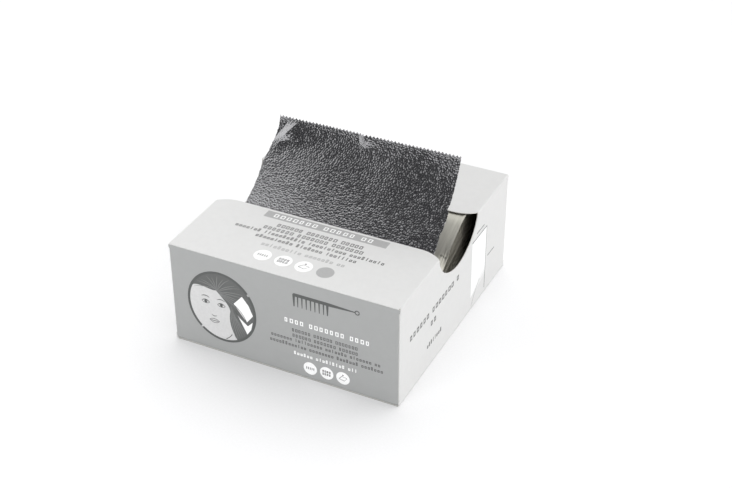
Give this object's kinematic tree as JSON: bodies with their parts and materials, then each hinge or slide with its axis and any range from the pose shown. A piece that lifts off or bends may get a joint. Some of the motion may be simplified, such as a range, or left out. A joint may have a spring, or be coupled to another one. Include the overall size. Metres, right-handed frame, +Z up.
{
  "type": "foil sheet dispenser carton",
  "caption": "Folding carton that dispenses interfolded aluminium foil sheets through a torn-open slot, one embossed sheet standing ready to pull, tuck closures at both ends.",
  "frame": {"origin": "centre of the carton's base, on the surface that it stands on", "axes": "+X to the right along the carton's width, +Y from the front closure to the back closure, +Z up"},
  "size_m": [0.14, 0.15, 0.1057],
  "materials": {
    "white_board": "matt coated white carton board",
    "grey_print": "matt grey printed carton board",
    "inner_board": "uncoated board face",
    "glue": "dried dispersion adhesive",
    "foil_stack": "bright foil edges",
    "foil_sheet": "smooth bright foil",
    "foil_embossed": "finely embossed foil"
  },
  "bodies": {
    "carton": {"top_front_panel": "white_board", "top_back_panel": "white_board", "right_side_panel": "white_board", "left_side_panel": "white_board", "bottom_panel": "white_board", "glue_flap": "inner_board", "seam_glue": "glue", "foil_stack": "foil_stack", "next_sheet": "foil_sheet"},
    "front_closure": {"front_closure": "grey_print"},
    "front_tongue": {"front_tuck_tongue": "inner_board"},
    "front_flap_left": {"front_dust_flap_left": "inner_board"},
    "front_flap_right": {"front_dust_flap_right": "inner_board"},
    "back_closure": {"back_closure": "white_board"},
    "back_tongue": {"back_tuck_tongue": "inner_board"},
    "back_flap_left": {"back_dust_flap_left": "inner_board"},
    "back_flap_right": {"back_dust_flap_right": "inner_board"},
    "popped_sheet": {"popped_sheet": "foil_embossed"}
  },
  "joints": [
    {"name": "front_closure_open", "type": "hinge", "parent": "carton", "child": "front_closure", "pos_m": [0, -0.0745, 0.064], "axis": [-1, 0, 0], "range_deg": [0, 120]},
    {"name": "front_tongue_fold", "type": "hinge", "parent": "front_closure", "child": "front_tongue", "pos_m": [0, -0.0745, 0.00115], "axis": [-1, 0, 0], "range_deg": [0, 30]},
    {"name": "front_flap_left_swing", "type": "hinge", "parent": "carton", "child": "front_flap_left", "pos_m": [-0.0695, -0.07395, 0.03], "axis": [0, 0, -1], "range_deg": [0, 60]},
    {"name": "front_flap_right_swing", "type": "hinge", "parent": "carton", "child": "front_flap_right", "pos_m": [0.0695, -0.07395, 0.03], "axis": [0, 0, 1], "range_deg": [0, 60]},
    {"name": "back_closure_open", "type": "hinge", "parent": "carton", "child": "back_closure", "pos_m": [0, 0.0745, 0.064], "axis": [1, 0, 0], "range_deg": [0, 120]},
    {"name": "back_tongue_fold", "type": "hinge", "parent": "back_closure", "child": "back_tongue", "pos_m": [0, 0.0745, 0.00115], "axis": [1, 0, 0], "range_deg": [0, 30]},
    {"name": "back_flap_left_swing", "type": "hinge", "parent": "carton", "child": "back_flap_left", "pos_m": [-0.0695, 0.07395, 0.03], "axis": [0, 0, 1], "range_deg": [0, 60]},
    {"name": "back_flap_right_swing", "type": "hinge", "parent": "carton", "child": "back_flap_right", "pos_m": [0.0695, 0.07395, 0.03], "axis": [0, 0, -1], "range_deg": [0, 60]},
    {"name": "sheet_pull", "type": "slide", "parent": "carton", "child": "popped_sheet", "axis": [0, 0.6832, 0.7302], "range_m": [0, 0.055]}
  ],
  "couplings": [
    {"joint": "front_tongue_fold", "follows": "front_closure_open", "ratio": 0.25},
    {"joint": "front_flap_left_swing", "follows": "front_closure_open", "ratio": 0.5},
    {"joint": "front_flap_right_swing", "follows": "front_closure_open", "ratio": 0.5},
    {"joint": "back_tongue_fold", "follows": "back_closure_open", "ratio": 0.25},
    {"joint": "back_flap_left_swing", "follows": "back_closure_open", "ratio": 0.5},
    {"joint": "back_flap_right_swing", "follows": "back_closure_open", "ratio": 0.5}
  ]
}
